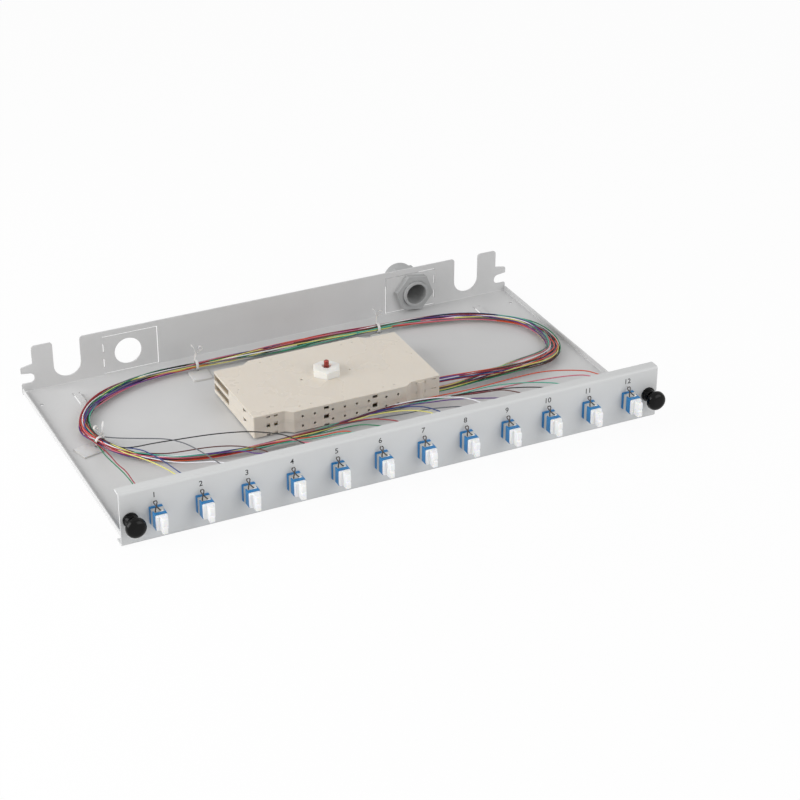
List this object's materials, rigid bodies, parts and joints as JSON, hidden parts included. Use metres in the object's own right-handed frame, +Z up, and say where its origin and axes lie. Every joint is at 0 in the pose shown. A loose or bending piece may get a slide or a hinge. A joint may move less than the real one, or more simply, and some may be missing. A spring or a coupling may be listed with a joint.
{
  "type": "sliding fibre patch drawer",
  "caption": "Pull-out steel drawer for optical fibre patching: duplex adapters and push latches in its front panel, a splice cassette inside a loop of coloured fibres, and a rear cable gland.",
  "frame": {"origin": "under the middle of the bounding box, on the surface that the drawer stands on", "axes": "+X to the right along the front panel, +Y from the front panel to the rear wall, +Z up"},
  "size_m": [0.4402, 0.2986, 0.0436],
  "materials": {
    "panel_paint": "fine texture powder coat, light warm grey",
    "pan_paint": "fine texture powder coat, light warm grey",
    "adapter_blue": "moulded, satin",
    "clip_steel": "stamped spring steel",
    "sleeve_ceramic": "ground zirconia, white",
    "cap_white": "moulded, slightly translucent",
    "connector_blue": "moulded",
    "boot_white": "soft moulded boot",
    "latch_black": "moulded nylon, glossy",
    "tray_ivory": "moulded, ivory",
    "comb_grey": "soft moulded comb",
    "splice_sleeve": "heat-shrunk, clear",
    "fibre_coil": "coated fibre",
    "stud_copper": "plated, copper coloured",
    "nut_white": "moulded nylon, natural",
    "gland_grey": "moulded nylon, light grey",
    "seal_rubber": "moulded",
    "fibre_jacket": "tight-buffered strands in mixed colours",
    "clip_nylon": "moulded nylon, natural",
    "pad_foam": "adhesive foam"
  },
  "bodies": {
    "drawer": {"front_panel": "panel_paint", "drawer_pan": "pan_paint", "rear_wall": "pan_paint", "adapter_body_01": "adapter_blue", "adapter_body_02": "adapter_blue", "adapter_body_03": "adapter_blue", "adapter_body_04": "adapter_blue", "adapter_body_05": "adapter_blue", "adapter_body_06": "adapter_blue", "adapter_body_07": "adapter_blue", "adapter_body_08": "adapter_blue", "adapter_body_09": "adapter_blue", "adapter_body_10": "adapter_blue", "adapter_body_11": "adapter_blue", "adapter_body_12": "adapter_blue", "adapter_clips": "clip_steel", "alignment_sleeves": "sleeve_ceramic", "pigtail_ferrules": "sleeve_ceramic", "pigtail_connectors": "connector_blue", "pigtail_boots": "boot_white", "latch_grommet_left": "latch_black", "latch_grommet_right": "latch_black", "splice_tray_lower": "tray_ivory", "splice_comb_lower": "comb_grey", "splices_lower": "splice_sleeve", "fibre_coil_lower": "fibre_coil", "cassette_stud": "stud_copper", "gland_body": "gland_grey", "gland_locknut": "gland_grey", "gland_gasket": "seal_rubber", "gland_seal": "seal_rubber", "fibre_bundle": "fibre_jacket", "fibre_pairs": "fibre_jacket", "fibre_lead_lower": "fibre_jacket", "cable_clips": "clip_nylon", "clip_foam_pads": "pad_foam"},
    "cap_01": {"dust_cap_01": "cap_white"},
    "cap_02": {"dust_cap_02": "cap_white"},
    "cap_03": {"dust_cap_03": "cap_white"},
    "cap_04": {"dust_cap_04": "cap_white"},
    "cap_05": {"dust_cap_05": "cap_white"},
    "cap_06": {"dust_cap_06": "cap_white"},
    "cap_07": {"dust_cap_07": "cap_white"},
    "cap_08": {"dust_cap_08": "cap_white"},
    "cap_09": {"dust_cap_09": "cap_white"},
    "cap_10": {"dust_cap_10": "cap_white"},
    "cap_11": {"dust_cap_11": "cap_white"},
    "cap_12": {"dust_cap_12": "cap_white"},
    "latch_left": {"latch_knob_left": "latch_black"},
    "latch_right": {"latch_knob_right": "latch_black"},
    "upper_tray": {"splice_tray_upper": "tray_ivory", "splice_comb_upper": "comb_grey", "splices_upper": "splice_sleeve", "fibre_coil_upper": "fibre_coil", "fibre_lead_upper": "fibre_jacket"},
    "lid": {"splice_lid": "tray_ivory"},
    "nut": {"hand_nut": "nut_white"},
    "dome_nut": {"gland_dome_nut": "gland_grey"}
  },
  "joints": [
    {"name": "cap_01_pull", "type": "slide", "parent": "drawer", "child": "cap_01", "axis": [0, -1, 0], "range_m": [0, 0.008]},
    {"name": "cap_02_pull", "type": "slide", "parent": "drawer", "child": "cap_02", "axis": [0, -1, 0], "range_m": [0, 0.008]},
    {"name": "cap_03_pull", "type": "slide", "parent": "drawer", "child": "cap_03", "axis": [0, -1, 0], "range_m": [0, 0.008]},
    {"name": "cap_04_pull", "type": "slide", "parent": "drawer", "child": "cap_04", "axis": [0, -1, 0], "range_m": [0, 0.008]},
    {"name": "cap_05_pull", "type": "slide", "parent": "drawer", "child": "cap_05", "axis": [0, -1, 0], "range_m": [0, 0.008]},
    {"name": "cap_06_pull", "type": "slide", "parent": "drawer", "child": "cap_06", "axis": [0, -1, 0], "range_m": [0, 0.008]},
    {"name": "cap_07_pull", "type": "slide", "parent": "drawer", "child": "cap_07", "axis": [0, -1, 0], "range_m": [0, 0.008]},
    {"name": "cap_08_pull", "type": "slide", "parent": "drawer", "child": "cap_08", "axis": [0, -1, 0], "range_m": [0, 0.008]},
    {"name": "cap_09_pull", "type": "slide", "parent": "drawer", "child": "cap_09", "axis": [0, -1, 0], "range_m": [0, 0.008]},
    {"name": "cap_10_pull", "type": "slide", "parent": "drawer", "child": "cap_10", "axis": [0, -1, 0], "range_m": [0, 0.008]},
    {"name": "cap_11_pull", "type": "slide", "parent": "drawer", "child": "cap_11", "axis": [0, -1, 0], "range_m": [0, 0.008]},
    {"name": "cap_12_pull", "type": "slide", "parent": "drawer", "child": "cap_12", "axis": [0, -1, 0], "range_m": [0, 0.008]},
    {"name": "latch_left_push", "type": "slide", "parent": "drawer", "child": "latch_left", "axis": [0, 1, 0], "range_m": [0, 0.005]},
    {"name": "latch_right_push", "type": "slide", "parent": "drawer", "child": "latch_right", "axis": [0, 1, 0], "range_m": [0, 0.005]},
    {"name": "upper_tray_lift", "type": "slide", "parent": "drawer", "child": "upper_tray", "axis": [0, 0, 1], "range_m": [0, 0.008]},
    {"name": "lid_lift", "type": "slide", "parent": "upper_tray", "child": "lid", "axis": [0, 0, 1], "range_m": [0, 0.01]},
    {"name": "hand_nut_turn", "type": "hinge", "parent": "lid", "child": "nut", "pos_m": [-0.0006, 0.00732, 0.026], "axis": [0, 0, 1], "continuous": true},
    {"name": "dome_nut_turn", "type": "hinge", "parent": "drawer", "child": "dome_nut", "pos_m": [0.128, 0.13583, 0.0203], "axis": [0, 1, 0], "continuous": true}
  ]
}
